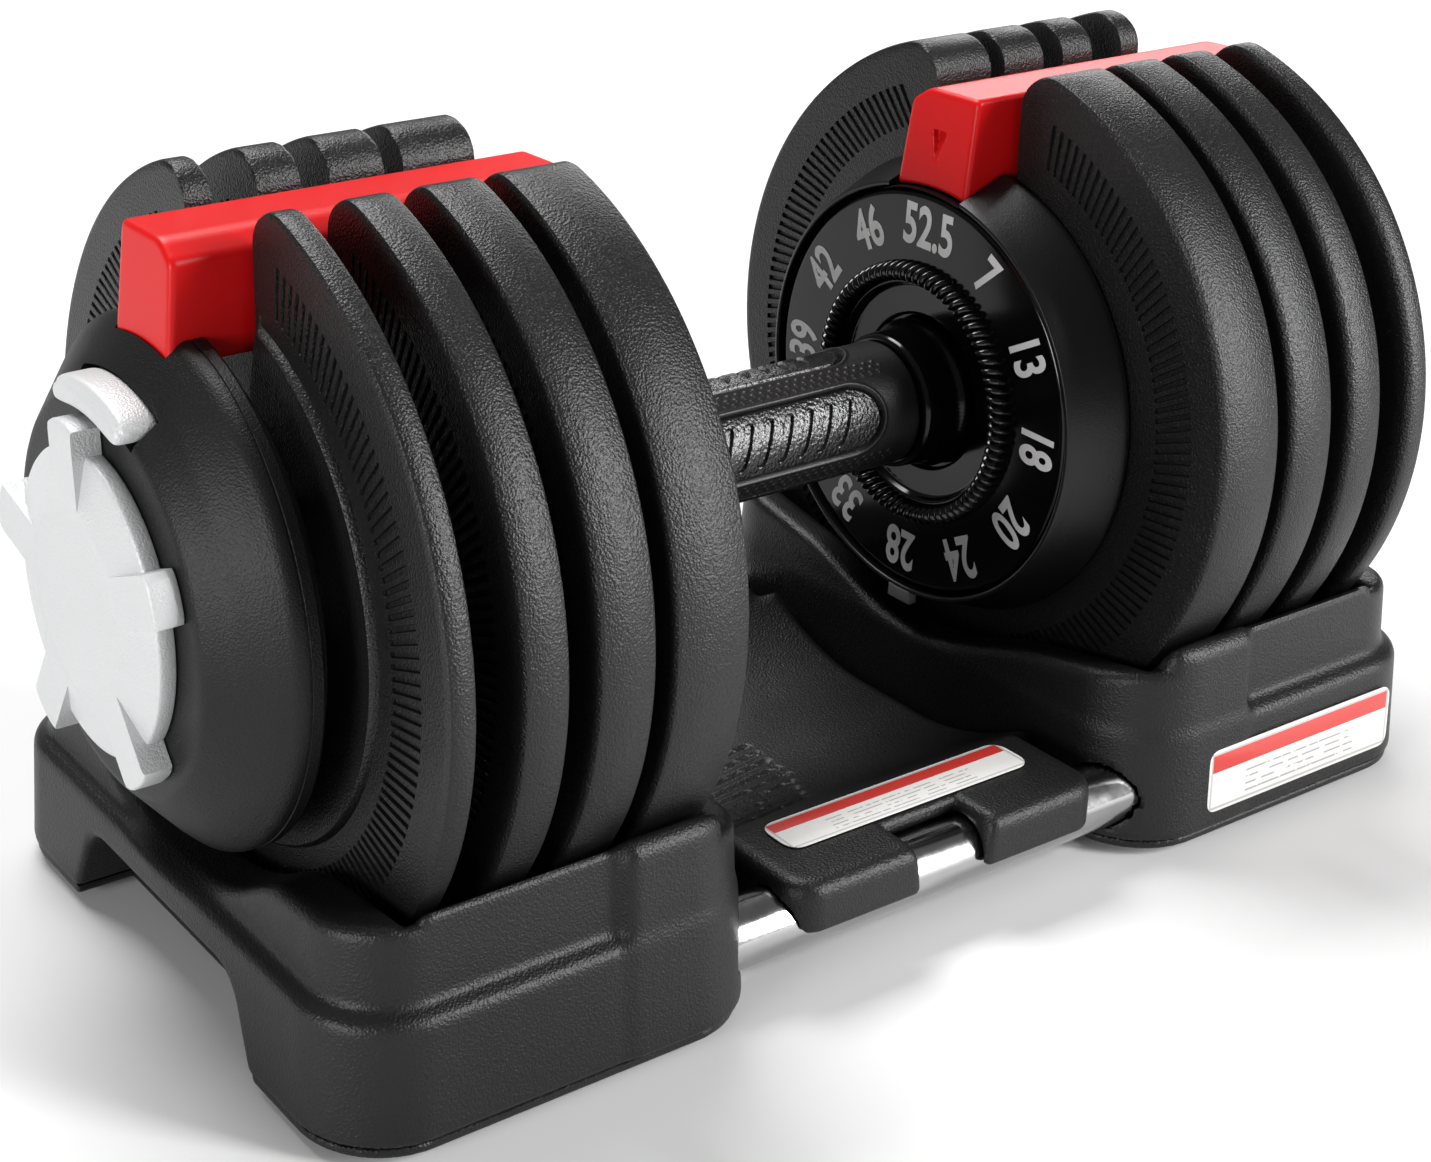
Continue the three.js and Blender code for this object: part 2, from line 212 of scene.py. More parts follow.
def glossy(name, colour, light, rough, **uniform):
    """Polished moulding: faint flow marks and a few soft scuffs in the gloss."""
    made = Finish(name, **uniform)
    flow = made.noise(55, 2.0)
    scuff = made.noise(1.6, 3.0, 0.7)
    return made.set(
        Base_Color=made.blend(flow, colour, light),
        Roughness=rough + flow * 0.05 + scuff * 0.04,
        Normal=made.bump(flow * 0.7 + scuff * 0.02, 0.12),
    )


def brushed(name, colour, light, rough, metal, grain, deep):
    """Plated or painted metal with a fine grain."""
    made = Finish(name, Metallic=metal)
    cloud = made.noise(20, 2.0)
    fine = made.noise(grain, 3.0, 0.7)
    return made.set(
        Base_Color=made.blend(cloud * 0.5 + fine * 0.5, colour, light),
        Roughness=rough + (fine - 0.5) * 0.14,
        Normal=made.bump(fine, deep),
    )


LABEL_ROWS = 9.0
LABEL_EDGE = (0.482, 0.42)


def printed(name, centre, size, across):
    """A white label: a coloured stripe along its far edge, a hair line round it and plain grey rules.

    Places along and over it run from minus a half to a half of its size."""
    made = Finish(name, Coat_Weight=0.25)
    spots = made.axes()
    along = (spots[0] - centre[0] * MM) / (size[0] * MM)
    over = (spots[across] - centre[1] * MM) / (size[1] * MM)
    grain = made.noise(0.8, 2.0)
    inner = (abs(along) < LABEL_EDGE[0]) * (abs(over) < LABEL_EDGE[1])
    rim = (1 - inner) * (abs(along) < 0.49) * (abs(over) < 0.455)
    stripe = (over > 0.14) * (over < LABEL_EDGE[1]) * (abs(along) < LABEL_EDGE[0])
    row = ((over + 0.5) * LABEL_ROWS).math("FRACT")
    broken = made.node("ShaderNodeTexNoise", {}, {"Vector": made.place, "Scale": 420.0, "Detail": 1.0})
    band = (row > 0.35) * (row < 0.62) * (abs(along) < 0.3)
    rules = band * (over > -0.38) * (over < 0.07) * (broken > 0.44)
    paper = made.blend(grain, (0.56, 0.55, 0.53, 1), (0.62, 0.61, 0.59, 1))
    striped = made.blend(stripe, paper, (0.45, 0.025, 0.018, 1))
    ruled = made.blend(rules * 0.8, striped, (0.2, 0.2, 0.2, 1))
    return made.set(
        Base_Color=made.blend(rim * 0.7, ruled, (0.25, 0.25, 0.25, 1)),
        Roughness=0.38 + grain * 0.1,
        Normal=made.bump(grain, 0.01),
    )


COATING = grained("plate_coating", grey(0.003), grey(0.006), 0.37, 0.66, 0.22)
HOUSING = grained("housing_plastic", grey(0.002), grey(0.005), 0.46, 0.6, 0.11, Specular_IOR_Level=0.27)
SHROUD = grained("shroud_plastic", grey(0.002), grey(0.005), 0.36, 0.6, 0.04)
TRAY = grained("tray_plastic", grey(0.003), grey(0.007), 0.42, 0.7, 0.17, Specular_IOR_Level=0.32)
FOOT = grained("foot_rubber", grey(0.010), grey(0.016), 0.8, 0.6, 0.05)
GRIP = grained("grip_rubber", grey(0.003), grey(0.006), 0.42, 0.5, 0.06)
PANEL = grained("grip_insert", grey(0.003), grey(0.006), 0.24, 1.0, 0.22, Specular_IOR_Level=0.5)
GLOSS = glossy("gloss_black", grey(0.001), grey(0.002), 0.09, Specular_IOR_Level=0.3)
RIBS = glossy("ring_plastic", grey(0.001), grey(0.003), 0.14, Specular_IOR_Level=0.6)
RED = glossy(
    "red_plastic", (0.50, 0.003, 0.004, 1), (0.58, 0.006, 0.007, 1), 0.32, Specular_IOR_Level=0.22)
SILVER = grained(
    "silver_plastic", (0.52, 0.525, 0.53, 1), (0.58, 0.585, 0.59, 1), 0.42, 0.6, 0.14, Metallic=0.15,
    Specular_IOR_Level=0.4)
STEEL = brushed("shaft_steel", grey(0.42), grey(0.58), 0.32, 1.0, 0.7, 0.02)
CHROME = brushed("tube_chrome", grey(0.36), grey(0.46), 0.15, 1.0, 2.5, 0.004)
INK = glossy("dial_print", grey(0.60), grey(0.70), 0.5)
TAB = brushed("tab_plastic", grey(0.16), grey(0.2), 0.5, 0.1, 0.6, 0.03)

# ---------------------------------------------------------------- meshes


def grid_faces(nu, nv, wrap_u, wrap_v):
    """Quads that join each point of a grid to its neighbours along both parameters."""
    u = np.arange(nu if wrap_u else nu - 1)
    v = np.arange(nv if wrap_v else nv - 1)
    a, b = np.meshgrid(u, v, indexing="ij")
    c, d = (a + 1) % nu, (b + 1) % nv
    return np.stack([a * nv + b, c * nv + b, c * nv + d, a * nv + d], -1).reshape(-1, 4)


def sheet(points, wrap_u=True, wrap_v=True):
    """A grid of points as a point list and its quads."""
    nu, nv = points.shape[:2]
    return points.reshape(-1, 3), grid_faces(nu, nv, wrap_u, wrap_v)


def make_mesh(name, spots, faces, finish, smooth):
    """One object from points in millimetres: doubles merged, faces outwards, edges sharp by angle."""
    mesh = bpy.data.meshes.new(name)
    mesh.vertices.add(len(spots))
    mesh.vertices.foreach_set("co", (spots * MM).ravel())
    mesh.loops.add(faces.size)
    mesh.loops.foreach_set("vertex_index", faces.ravel().astype(np.int32))
    mesh.polygons.add(len(faces))
    mesh.polygons.foreach_set("loop_start", np.arange(0, faces.size, faces.shape[1], dtype=np.int32))
    mesh.update(calc_edges=True)
    work = bmesh.new()
    work.from_mesh(mesh)
    bmesh.ops.remove_doubles(work, verts=work.verts, dist=0.002 * MM)
    bmesh.ops.dissolve_degenerate(work, edges=work.edges, dist=0.0005 * MM)
    bmesh.ops.recalc_face_normals(work, faces=work.faces)
    work.to_mesh(mesh)
    work.free()
    mesh.shade_smooth()
    mesh.set_sharp_from_angle(angle=math.radians(smooth))
    mesh.materials.append(finish)
    piece = bpy.data.objects.new(name, mesh)
    bpy.context.scene.collection.objects.link(piece)
    return piece


def join(sheets):
    """Several point lists with quads as one."""
    spots, faces, first = [], [], 0
    for points, quads in sheets:
        spots.append(points)
        faces.append(quads + first)
        first += len(points)
    return np.concatenate(spots), np.concatenate(faces)


def piece(name, sheets, finish, body, slot, *nodes, smooth=35.0):
    """A finished piece that rides on a body, takes the given finish and stands for CAD nodes; its slot is
    not used.
    """
    spots, faces = join(sheets)
    made = make_mesh(name, spots, faces, finish, smooth)
    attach(made, body)
    if nodes:
        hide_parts(*nodes)
    return made


def both_ends(name, sheets, finish, body, slot, *nodes, smooth=35.0):
    """The same piece at both ends; {side} in a body or node name becomes right or left."""
    spots, faces = join(sheets)
    for side, turn in ENDS.items():
        stands_for = [node.format(side=side) for node in nodes]
        whole = [(spots * turn, faces)]
        piece(f"{name}_{side}", whole, finish, body.format(side=side), slot, *stands_for, smooth=smooth)


def around(x, r, a):
    """Points at x along the grip's axis, at radius r and angle a round it."""
    return np.stack(np.broadcast_arrays(x, r * np.sin(a), AXIS_Z + r * np.cos(a)), -1)


def eased(points, reach, loop=False, steps=4):
    """An outline whose corners are replaced by parabolas that start within reach of each corner."""
    points = np.asarray(points, float)
    before = np.roll(points, 1, 0) - points
    after = np.roll(points, -1, 0) - points
    cut = np.minimum(np.linalg.norm(before, axis=1), np.linalg.norm(after, axis=1)) * 0.49
    cut = np.minimum(cut, reach)
    unit = [d / np.maximum(np.linalg.norm(d, axis=1, keepdims=True), 1e-9) for d in (before, after)]
    first, last = (points + d * cut[:, None] for d in unit)
    t = np.linspace(0, 1, steps + 1)[None, :, None]
    curve = first[:, None] * (1 - t) ** 2 + points[:, None] * 2 * t * (1 - t) + last[:, None] * t**2
    if loop:
        return curve.reshape(-1, 2)
    inner = curve[1:-1].reshape(-1, 2)
    return np.concatenate([points[:1], inner, points[-1:]])


def turned(profile, reach=0.5, steps=192):
    """An eased profile of [x, radius] points carried round the axis; closed unless it ends on it."""
    ring = profile[0][1] > 0
    x, r = eased(profile, reach, loop=ring).T
    a = np.linspace(0, TURN, steps, endpoint=False)
    return sheet(around(x[None], r[None], a[:, None]), True, ring)


def soft_max(a, b, k):
    """The larger of two fields, blended over the width k."""
    h = np.maximum(k - np.abs(a - b), 0) / k
    return np.maximum(a, b) + h * h * k / 4


def soft_min(a, b, k):
    """The smaller of two fields, blended over the width k."""
    return -soft_max(-a, -b, k)


def rounded_box(x, y, middle, half, corner):
    """Distance to a rectangle with rounded corners, negative inside."""
    qx = np.abs(x - middle[0]) - (half[0] - corner)
    qy = np.abs(y - middle[1]) - (half[1] - corner)
    outside = np.sqrt(np.maximum(qx, 0) ** 2 + np.maximum(qy, 0) ** 2)
    return outside + np.minimum(np.maximum(qx, qy), 0) - corner


def net(field, low, high, step):
    """The zero surface of a field by surface nets: one point in each crossed cell, the mean of the
    crossings on its edges, then two Newton steps along the field's slope; one quad per crossed edge."""
    ticks = [np.arange(a, b + step, step) for a, b in zip(low, high)]
    shape = [len(t) for t in ticks]
    values = np.broadcast_to(field(*np.meshgrid(*ticks, indexing="ij", sparse=True)), shape)
    cells = tuple(n - 1 for n in shape)
    total, count = np.zeros(cells + (3,), np.float32), np.zeros(cells, np.float32)
    crossings = []
    for axis in range(3):
        near = np.delete(values, -1, axis)
        far = np.delete(values, 0, axis)
        crossed = (near < 0) != (far < 0)
        share = np.where(crossed, near / np.where(crossed, near - far, 1), 0)
        crossings.append((crossed, near < 0))
        one, two = [n for n in range(3) if n != axis]
        for i in (0, 1):
            for j in (0, 1):
                part = [slice(None)] * 3
                part[one] = slice(i, i + cells[one])
                part[two] = slice(j, j + cells[two])
                here = crossed[tuple(part)]
                total[..., axis] += share[tuple(part)]
                total[..., one] += i * here
                total[..., two] += j * here
                count += here
    used = count > 0
    index = np.full(cells, -1)
    index[used] = np.arange(used.sum())
    spots = np.argwhere(used) + total[used] / count[used][:, None]
    spots = np.asarray(low, float) + spots * step
    moves = np.eye(3) * step * 0.2
    for _ in range(2):
        here = field(*spots.T)
        rises = [field(*(spots + m).T) - field(*(spots - m).T) for m in moves]
        slope = np.stack([rise / (0.4 * step) for rise in rises], -1)
        size = np.maximum((slope**2).sum(-1), 0.2)
        spots -= np.clip(here / size, -0.3 * step, 0.3 * step)[:, None] * slope
    faces = []
    for axis, (crossed, inward) in enumerate(crossings):
        one, two = [n for n in range(3) if n != axis]
        part = [slice(None)] * 3
        part[one] = part[two] = slice(1, -1)
        at = np.argwhere(crossed[tuple(part)])
        flip = inward[tuple(part)][crossed[tuple(part)]]
        corners = []
        for i, j in ((0, 0), (1, 0), (1, 1), (0, 1)):
            shift = np.zeros(3, int)
            shift[one], shift[two] = i, j
            corners.append(index[tuple((at + shift).T)])
        quads = np.stack(corners, -1)
        quads[flip] = quads[flip][:, ::-1]
        faces.append(quads)
    return spots, np.concatenate(faces)


def moulded(field, node, margin, step):
    """The surface net of a field of x, y, z and a CAD node's low and high corner."""
    low, high = span(node)
    return net(lambda x, y, z: field(x, y, z, low, high), low - margin, high + margin, step)


# ---------------------------------------------------------------- weight plates

SLOT_HALF = 17.0
HORN_R = 10.1
EDGE = 1.3
HUB_ZONE = 60.0
STUD = {"y": 33.0, "z": 27.0, "r": 2.5, "reach": 4.0}
PAD = {"r": 70.0, "thick": 2.0}
SLOTS = {
    "from": 76.0, "to": 88.0, "count": 152, "deep": 0.9, "start": math.radians(19.5),
    "lean": math.radians(15)}


def plate_rays(radius):
    """Angles of the rays that cover an open-topped plate, with the inner and outer radius on each.

    A horn is a circle inside the rim beside the slot. A ray at an angle d from the horn's centre
    meets it at D cos d -/+ the root of (horn squared - D squared sin squared d). The inner radius
    is the slot wall, half the slot over the sine of the angle, then the round bottom of the slot."""
    cx = SLOT_HALF + HORN_R
    far = radius - HORN_R
    lean = math.asin(cx / far)
    first = lean - math.asin(HORN_R / far)
    beta = np.linspace(first - math.pi / 2, lean, 15)
    y, z = cx + HORN_R * np.sin(beta), far * math.cos(lean) + HORN_R * np.cos(beta)
    horn = np.arctan2(y, z)
    pitch = (TURN - 2 * SLOTS["start"]) / SLOTS["count"]
    first_ribs = SLOTS["start"] + pitch * np.arange(SLOTS["count"])[:, None]
    rib = first_ribs + pitch * np.array([0, 0.07, 0.45, 0.52])
    angles = np.concatenate([horn, [lean + 0.02], rib.ravel(), [TURN - lean - 0.02], TURN - horn[::-1]])
    groove = np.concatenate([np.zeros(16), np.tile([0, 1, 1, 0], SLOTS["count"]), np.zeros(16)])
    side = np.minimum(angles, TURN - angles)
    root = np.sqrt(np.maximum(HORN_R**2 - (far * np.sin(side - lean)) ** 2, 0))
    wall = math.atan2(SLOT_HALF, far * math.cos(lean))
    inner = np.where(side < math.pi / 2, SLOT_HALF / np.sin(np.minimum(side, math.pi / 2)), SLOT_HALF)
    inner = np.where(side < wall, far * np.cos(side - lean) - root, inner)
    outer = np.where(side < lean, far * np.cos(side - lean) + root, radius)
    return angles, groove, np.minimum(inner, outer), outer


def plate_sheet(radius, x0, x1, pad):
    """A plate: rays carried over both faces and the rim, with slanted slots pressed into each face.

    Rows between the hub zone and the rim keep their own radius, except beside the slot, where they
    are squeezed between the slot wall and the horn."""
    angles, groove, inner, outer = plate_rays(radius)
    a0, a1, deep = SLOTS["from"], SLOTS["to"], SLOTS["deep"]
    middle = (a0 + a1) / 2
    face = [(0.0, 0, 0), (0.5, 0, 0), (HUB_ZONE, 0, 0), (pad - 0.7, 0, 0), (pad, 0.6, 0), (pad + 0.4, 2, 0),
            (a0 - 0.25, 2, 0), (a0, 2, 1), (a1, 2, 1), (a1 + 0.25, 2, 0), (radius - 2.6, 2, 0),
            (radius - EDGE, 2.05, 0), (radius - 0.4, 2.5, 0), (radius, 2 + EDGE, 0)]
    base = np.maximum(inner, HUB_ZONE)
    side = np.minimum(angles, TURN - angles)
    raised = np.clip((side - math.radians(15.5)) / math.radians(1.5), 0, 1)
    columns = []
    for sense, x, out in ((1, x0, -1), (-1, x1, 1)):
        lift = PAD["thick"] if out > 0 and pad == PAD["r"] else 0
        rows = []
        for r, drop, cut in face:
            if r < 1:
                radial = inner + r * (base - inner)
            else:
                radial = base + (r - HUB_ZONE) / (radius - HUB_ZONE) * (outer - base)
            sheared = abs(r - middle) < (a1 - a0) / 2 + 0.5
            turn = sense * math.tan(SLOTS["lean"]) * (r - middle) / middle if sheared else 0
            up = lift * raised * (1 - min(drop, 2) / 2)
            down = max(drop - 2, 0) + cut * deep * groove
            at = x + out * (up - down)
            rows.append(around(at, radial, angles + turn * raised))
        columns.append(rows)
    order = columns[0] + columns[1][::-1]
    return sheet(np.stack(order, 1), False, True)


def stud_sheet(x0, x1):
    """A short round stud beside the slot, its end rounded over."""
    r = STUD["r"]
    x = np.array([x0, x0, x1 - 0.7, x1 - 0.2, x1, x1])
    radial = np.array([0, r, r, r - 0.4, r - 1, 0])
    a = np.linspace(0, TURN, 32, endpoint=False)[:, None]
    y = STUD["y"] + radial * np.sin(a)
    z = AXIS_Z + STUD["z"] + radial * np.cos(a)
    return sheet(np.stack(np.broadcast_arrays(x[None], y, z), -1), True, False)


def build_plates():
    """The eight weight plates: four sizes at each end, each with its stud."""
    for letter in "abcd":
        low, high = span(f"plate_{letter}_right")
        radius = (high[1] - low[1]) / 2
        face = high[0] - STUD["reach"] - (PAD["thick"] if letter == "d" else 0)
        pad = PAD["r"] if letter == "d" else PAD["r"] + 2.5
        sheets = [plate_sheet(radius, low[0], face, pad), stud_sheet(face - 1, high[0])]
        node = f"plate_{letter}_{{side}}"
        both_ends(f"coated_plate_{letter}", sheets, COATING, node, "plate_coating", node)


# ---------------------------------------------------------------- housings

GAP = 14.4
UNDER = 60.4


def notched(profile, floor_to, closed=True, steps=180):
    """A profile of [x, radius] points carried round the axis, with a straight-walled channel for the
    red bar where x is below floor_to: there the radius drops to the channel's floor between two
    walls at plus and minus the gap, whose angle is the arcsine of the gap over the radius."""
    x, r = np.asarray(profile, float).T
    cut = (x <= floor_to) & (r > UNDER)
    low = np.where(cut, UNDER, r)
    top = np.arcsin(GAP / np.maximum(r, GAP * 1.2))
    foot = np.arcsin(GAP / np.maximum(low, GAP * 1.2))
    u = np.linspace(0, 1, steps)[:, None]
    outside = top + u * (TURN - 2 * top)
    v = np.linspace(0, 1, 9)[:, None]
    inside = TURN - foot + v * 2 * foot
    points = np.concatenate([around(x[None], r[None], outside), around(x[None], low[None], inside)])
    return sheet(points, True, closed)


def build_shroud():
    """The ring round the dial, open at the top for the red bar, and the web behind the dial."""
    x0, x1, r = round_span("shroud_right")
    bore, web = 60.45, x0 + 7
    ring = [[x0 + 0.4, bore + 0.1], [x0, bore + 0.5], [x0 + 0.1, bore + 1.4], [x0 + 3.4, bore + 2.6],
            [x1 - 3.2, r - 0.6], [x1 - 1.5, r], [x1, r - 0.6], [x1, bore], [x0 + 5, bore]]
    back = [[web, 9.2], [web, bore - 0.3], [x1 - 0.3, bore - 0.3], [x1 - 0.3, 9.2]]
    sheets = [notched(eased(ring, 0.7, True), x1 + 1), turned(back)]
    both_ends("dial_shroud", sheets, SHROUD, "handle_frame", "housing_plastic", "shroud_{side}")
    tab = [[x0 - 0.05, 61.6], [x0 - 0.05, 65.8], [x0 + 3, 65.8], [x0 + 3, 61.6]]
    x, radial = eased(tab, 0.5, True).T
    a = math.pi + np.linspace(-0.085, 0.085, 12)[:, None]
    ends = np.clip(np.array([0, *([1] * 10), 0]), 0, 1)[:, None]
    middle = (x0 + 1.5, 63.7)
    lug = around(middle[0] + (x - middle[0])[None] * ends, middle[1] + (radial - middle[1])[None] * ends, a)
    both_ends("shroud_tab", [sheet(lug, False, True)], TAB, "handle_frame", "silver_plastic")


def build_hub():
    """The flat disc behind each end cap."""
    x0, x1, r = round_span("end_hub_right")
    ring = [[x0, 9.2], [x0, r], [x1, r], [x1, 9.2]]
    both_ends("hub_disc", [turned(ring, 0.6)], HOUSING, "handle_frame", "housing_plastic", "end_hub_{side}")


LATCH_GAP = 0.5
LATCH_HALF = math.radians(20.5)
LATCH_INNER = 47.7
LATCH_TRAVEL = 2.0
CAP_BORE = 13.4
CAP_FACE_R = 49.0
HAIR = 0.0008


def latch_place():
    """The latch's inner and outer radius, the middle of its angle, and its ends along x."""
    low, high = span("latch_right")
    outer = high[2] - AXIS_Z
    return LATCH_INNER, outer, math.asin((high[1] + low[1]) / 2 / outer), low[0], high[0]


def build_cap():
    """The domed end cap: rim, cone and flat face, a channel for the red bar and a latch pocket.

    Rows in the pocket drop to its floor between its two end angles and stay on the cap elsewhere."""
    x0, x1, r = round_span("end_cap_right")
    inner, outer, middle, latch_x, _ = latch_place()
    inner, outer, half = inner - LATCH_GAP, outer + LATCH_GAP, LATCH_HALF + math.radians(0.6)
    floor = latch_x - LATCH_TRAVEL - LATCH_GAP
    rim, face_r = x0 + 7, CAP_FACE_R
    bar_end = span("spine_right")[1][0] + 0.4
    slope = (x1 - rim) / (r - face_r)

    def cone(radius):
        return x1 - (radius - face_r) * slope

    at_bar = r - (bar_end - rim) / slope
    skirt = [[x0, CAP_BORE], [x0, r - 1.2], [x0 + 0.3, r - 0.4], [x0 + 1, r], [x0 + 3.6, r],
             [x0 + 3.8, r - 0.35], [x0 + 4.2, r - 0.35], [x0 + 4.4, r], [rim - 1.5, r - 0.05],
             [rim, r - 0.6], [rim + 1.2, r - 1.7]]
    slant = [[bar_end - 0.01, at_bar], [bar_end + 0.01, at_bar - 0.02], [cone(58), 58]]
    rows = [[x, radius, x, radius] for x, radius in skirt + slant]
    rows += [[cone(outer), outer] * 2, [cone(53), 53, floor, outer],
             [cone(51.5), 51.5, floor, (inner + outer) / 2],
             [cone(50), 50, floor, inner + 0.4], [x1 - 0.25, face_r, floor, inner],
             [x1, inner, x1, inner], [x1, 20, x1, 20], [x1, CAP_BORE, x1, CAP_BORE]]
    x, radial, deep_x, deep_r = np.array(rows).T
    cut = (x <= bar_end) & (radial > UNDER)
    under = np.where(cut, UNDER, radial)
    top = np.arcsin(np.minimum(GAP / radial, 0.21))
    foot = np.where(cut, np.arcsin(GAP / UNDER), top)
    columns = []

    def column(angle, channel, well):
        """One column of points: a channel column drops to the bar's floor, a well column into the
        pocket."""
        xs = np.where(well, deep_x, x)
        rs = np.where(well, deep_r, np.where(channel, under, radial))
        columns.append(around(xs, rs, angle))

    for share in np.linspace(-1, 1, 41):
        inside = share * foot
        inside = np.where(radial <= outer + 0.01, middle + share * half, inside)
        column(inside, True, radial <= outer + 0.01)
    column(np.where(radial <= outer + 0.01, middle + half + HAIR, top), False, False)
    for share in np.linspace(0, 1, 180)[1:-1]:
        start = np.where(radial <= outer + 0.01, middle + half + HAIR, top)
        end = np.where(radial <= outer + 0.01, TURN + middle - half - HAIR, TURN - top)
        column(start + share * (end - start), False, False)
    column(np.where(radial <= outer + 0.01, TURN + middle - half - HAIR, TURN - top), False, False)
    points = np.stack(columns)
    both_ends("end_cap_cover", [sheet(points, True, True)], HOUSING, "handle_frame", "housing_plastic",
              "end_cap_{side}", smooth=28)


def build_latch():
    """The crescent tab: a rounded box section carried along an arc, narrowing to rounded ends.

    The half width along the arc is the 8th-power rounding (1 - t^8)^(1/8), and the section is the
    5th-power rounding of its box, with a step along the outer side of its top."""
    inner, outer, middle, x0, x1 = latch_place()
    t = np.sin(np.linspace(-1, 1, 61) * math.pi / 2)[:, None]
    wide = (1 - np.abs(t) ** 5) ** (1 / 3)
    high = (1 - np.abs(t) ** 30) ** (1 / 3)
    q = np.linspace(0, TURN, 72, endpoint=False)[None]
    c, s = np.cos(q), np.sin(q)
    across = np.sign(c) * np.abs(c) ** 0.35
    up = np.sign(s) * np.abs(s) ** 0.35
    step = 1.3 / (1 + np.exp(-(across - 0.45) * 14)) * (up > 0) * np.abs(up)
    radial = (inner + outer) / 2 + (outer - inner) / 2 * across * wide
    x = (x0 + x1) / 2 + (x1 - x0) / 2 * up * high - step * high
    points = around(x, radial, middle + t * LATCH_HALF)
    both_ends("latch_tab", [sheet(points, False, True)], SILVER, "latch_{side}", "silver_plastic",
              "latch_{side}")


# ---------------------------------------------------------------- red bar


def bar_field(x, y, z, low, high):
    """The red bar: two sides that lean in a little, a round underside, a flat top, two ends and one
    slanted top edge, all blended at their edges, with a wedge-shaped pointer cut into its inner end."""
    z = z - AXIS_Z
    top = high[2] - AXIS_Z
    half = (high[1] - low[1]) / 2
    lean = 1.0 / 28
    sides = np.abs(y) - half + (z - 60) * lean
    body = soft_max(sides, z - top, 2.0)
    corner = (y - 13) * 0.56 + (z - (top - 4.2)) * 0.83
    body = soft_max(body, corner, 1.4)
    body = soft_max(body, UNDER + 0.3 - np.sqrt(y * y + z * z), 1.2)
    inner = low[0] + (z - 60) * 0.13
    body = soft_max(body, inner - x, 1.6)
    body = soft_max(body, x - high[0] + (z - 60) * 0.09, 1.6)
    deep = inner + 0.3 + (z - 68.0) * 0.22
    wedge = np.maximum(np.abs(y) * 3.2 - (z - 68.0), z - 77.0)
    wedge = np.maximum(wedge * 0.3, x - deep)
    return np.maximum(body, -wedge)


def build_bar():
    """The red bar over the plates at each end."""
    sheets = [moulded(bar_field, "spine_right", 2, 0.62)]
    both_ends("red_bar", sheets, RED, "handle_frame", "red_plastic", "spine_{side}", smooth=50)


# ---------------------------------------------------------------- knob


KNOB = {
    "lug": 45.6, "round": 38.2, "plateau": 25.5, "arms": 5, "half": 6.4, "drop": 3.2,
    "first": math.radians(-4)}


def build_knob():
    """A raised middle with five straight-sided arms that run out past a lower, sloping disc.

    Rows run from the middle to the rim with a share of the way from the plateau's edge. Columns
    on an arm keep between its two parallel sides, at angles of the arcsine of the half width over
    the radius, and columns between arms lie on the slope, so the arms' sides are flat walls."""
    x0, top, _ = round_span("knob_right")
    inner = [(0.0, -0.35), (0.4, -0.35), (0.86, -0.3), (0.89, -0.28), (0.92, -0.05), (0.96, 0.0)]
    outer = [(0.0, 0), (0.3, 0), (0.6, 0), (0.9, 0), (0.97, -0.12), (0.99, -0.4), (1.0, -0.9)]
    sector = TURN / KNOB["arms"]
    columns = []

    def column(arm, share, angle_of, reach, drop):
        """One column: x and radius of every row, its angle worked out from the radius."""
        radial = [f * KNOB["plateau"] for f, _ in inner]
        x = [top + up for _, up in inner]
        for f, up in outer:
            radial.append(KNOB["plateau"] + f * (reach - KNOB["plateau"]))
            x.append(top - drop * min(f * 1.02, 1) + up)
        radial += [reach, reach * 0.995, reach * 0.9, 0.0]
        x += [x0 + 0.5, x0, x0, x0]
        radial, x = np.array(radial), np.array(x)
        columns.append(around(x, radial, KNOB["first"] + arm * sector + angle_of(radial, share)))

    def edge(radial):
        return np.arcsin(np.minimum(KNOB["half"] / np.maximum(radial, KNOB["half"] * 2.2), 1))

    def on_arm(radial, share):
        return share * edge(radial)

    def between(radial, share):
        return edge(radial) + share * (sector - 2 * edge(radial))

    for arm in range(KNOB["arms"]):
        for share in np.linspace(-1, 1, 13):
            column(arm, share, on_arm, KNOB["lug"] - 0.9 * share**4, 0.0)
        for share in np.linspace(0, 1, 44):
            column(arm, share, between, KNOB["round"], KNOB["drop"])
    points = np.stack(columns)
    both_ends("end_knob", [sheet(points, True, False)], SILVER, "rotor", "silver_plastic", "knob_{side}")


# ---------------------------------------------------------------- dial, collar and grip

NUMBERS = ["52.5", "7", "13", "18", "20", "24", "28", "33", "37", "39", "42", "46"]
NUMBER_HIGH = 12.6
NUMBER_NARROW = 0.72
NUMBER_R = 49.6
NUMBER_TURN = math.radians(-2)


def lettered(text, size):
    """A number as flat mesh points and triangles, centred, its capitals as high as the size."""
    curve = bpy.data.curves.new("number", "FONT")
    curve.body = text
    curve.size = 1.0
    curve.offset = 0.026
    curve.resolution_u = 6
    curve.align_x = "CENTER"
    holder = bpy.data.objects.new("number", curve)
    bpy.context.scene.collection.objects.link(holder)
    bpy.context.view_layer.update()
    mesh = bpy.data.meshes.new_from_object(holder)
    bpy.data.objects.remove(holder)
    mesh.calc_loop_triangles()
    spots = np.zeros(len(mesh.vertices) * 3)
    mesh.vertices.foreach_get("co", spots)
    spots = spots.reshape(-1, 3)
    triangles = np.zeros(len(mesh.loop_triangles) * 3, int)
    mesh.loop_triangles.foreach_get("vertices", triangles)
    bpy.data.meshes.remove(mesh)
    low, high = spots.min(0), spots.max(0)
    flat = (spots - (low + high) / 2) * size / (high[1] - low[1])
    flat[:, 0] *= NUMBER_NARROW
    return flat, triangles.reshape(-1, 3)


